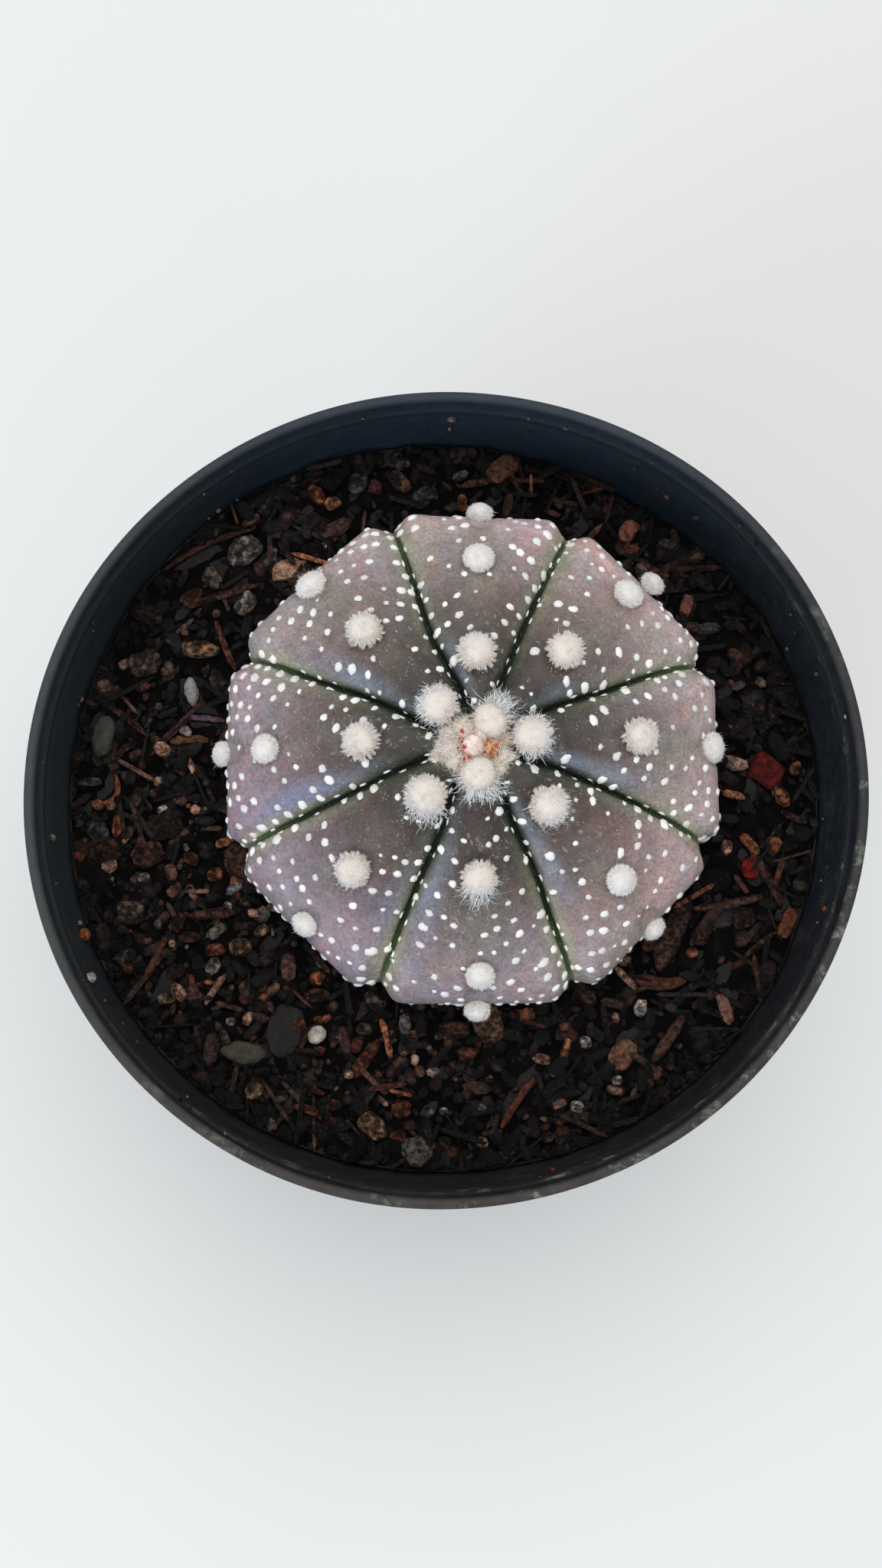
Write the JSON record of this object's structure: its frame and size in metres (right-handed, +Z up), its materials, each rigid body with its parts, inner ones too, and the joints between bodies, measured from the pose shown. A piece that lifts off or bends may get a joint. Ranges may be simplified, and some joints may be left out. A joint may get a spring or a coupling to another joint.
{
  "type": "potted cactus",
  "caption": "Flattened round cactus with broad ribs, narrow grooves and woolly tufts, set in bark mix in a thin tapered round pot.",
  "frame": {"origin": "centre of the pot's foot, on the surface it stands on", "axes": "+Z up out of the pot; -Y is the front, the side nearest the viewer; the pot's slightly longer width runs along X"},
  "size_m": [0.1014, 0.0986, 0.0848],
  "materials": {
    "pot_plastic": "thin black moulded plastic with a soft sheen, dusty and streaked with mineral deposit near the lip",
    "potting_mix": "damp dark bark and coco mix, matte",
    "cactus_skin": "waxy grey-brown skin flushed mauve, white woolly flecks and cream felt pads",
    "bark": "rough dry bark",
    "red_bark": "rough reddish bark",
    "tan_bark": "rough pale bark",
    "fibre": "dry plant fibre",
    "grey_stone": "dull grey stone",
    "dark_stone": "dull dark stone",
    "pale_stone": "matte off-white stone"
  },
  "bodies": {
    "root": {"nursery_pot": "pot_plastic", "potting_mix": "potting_mix", "cactus_body": "cactus_skin", "flat_stone_grey": "grey_stone", "flat_stone_dark": "dark_stone", "pebble_white": "pale_stone", "stone_egg_dark": "dark_stone", "pebble_long_pale": "pale_stone", "bark_chip_red_large": "red_bark", "bark_chip_red_small": "red_bark", "bark_chip_orange": "tan_bark", "bark_chip_tan_upright": "tan_bark", "bark_chip_pinkish": "tan_bark", "bark_chip_pink_a": "tan_bark", "bark_chip_pink_b": "tan_bark", "bark_chip_hook": "tan_bark", "bark_chip_tan_front": "tan_bark", "bark_chip_brown_long": "bark", "stick_pale": "tan_bark", "fibre_red_brown": "fibre", "stick_mauve": "fibre", "stick_tan": "tan_bark", "stick_pinkish": "fibre", "stick_red_a": "fibre", "stick_red_b": "bark"}
  },
  "joints": []
}
